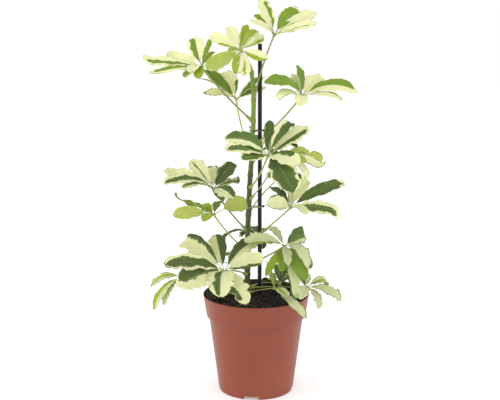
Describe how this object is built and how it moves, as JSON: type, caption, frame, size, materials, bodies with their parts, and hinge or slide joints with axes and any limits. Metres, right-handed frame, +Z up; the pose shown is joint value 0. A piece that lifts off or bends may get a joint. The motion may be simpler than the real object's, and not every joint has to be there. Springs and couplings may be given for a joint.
{
  "type": "potted umbrella plant",
  "caption": "Variegated umbrella plant on a black support stake in a terracotta-coloured plastic grower's pot filled with dark soil.",
  "frame": {"origin": "middle of the pot's underside, on the plane that the pot rests on", "axes": "+Z up along the pot's axis and the plant's height, -Y towards the viewer of the front, +X to that viewer's right"},
  "size_m": [0.2329, 0.1884, 0.4388],
  "materials": {
    "pot_plastic": "satin",
    "soil": "rough",
    "stem": "satin",
    "stake_plastic": "satin",
    "tie": "satin",
    "leaf_new": "satin",
    "leaf_cream": "satin",
    "leaf_green": "satin"
  },
  "bodies": {
    "root": {"pot": "pot_plastic", "soil": "soil", "stem": "stem", "stake": "stake_plastic", "tie_lower": "tie", "tie_upper": "tie", "leaf_top_right": "leaf_new", "leaf_top_centre": "leaf_new", "leaf_top_left": "leaf_cream", "leaf_upper_left": "leaf_cream", "leaf_upper_right": "leaf_cream", "leaf_middle_front": "leaf_cream", "leaf_middle_right_upper": "leaf_new", "leaf_middle_right": "leaf_cream", "leaf_middle_left": "leaf_cream", "leaf_middle_left_lower": "leaf_new", "leaf_low_front_left": "leaf_cream", "leaf_low_left": "leaf_cream", "leaf_low_right": "leaf_cream", "leaf_rim_right": "leaf_cream", "leaf_rim_front": "leaf_cream", "leaf_back_low": "leaf_green", "leaf_back_rim": "leaf_green", "leaf_back_upper": "leaf_green", "leaf_back_left": "leaf_green", "leaf_back_right": "leaf_green"}
  },
  "joints": []
}
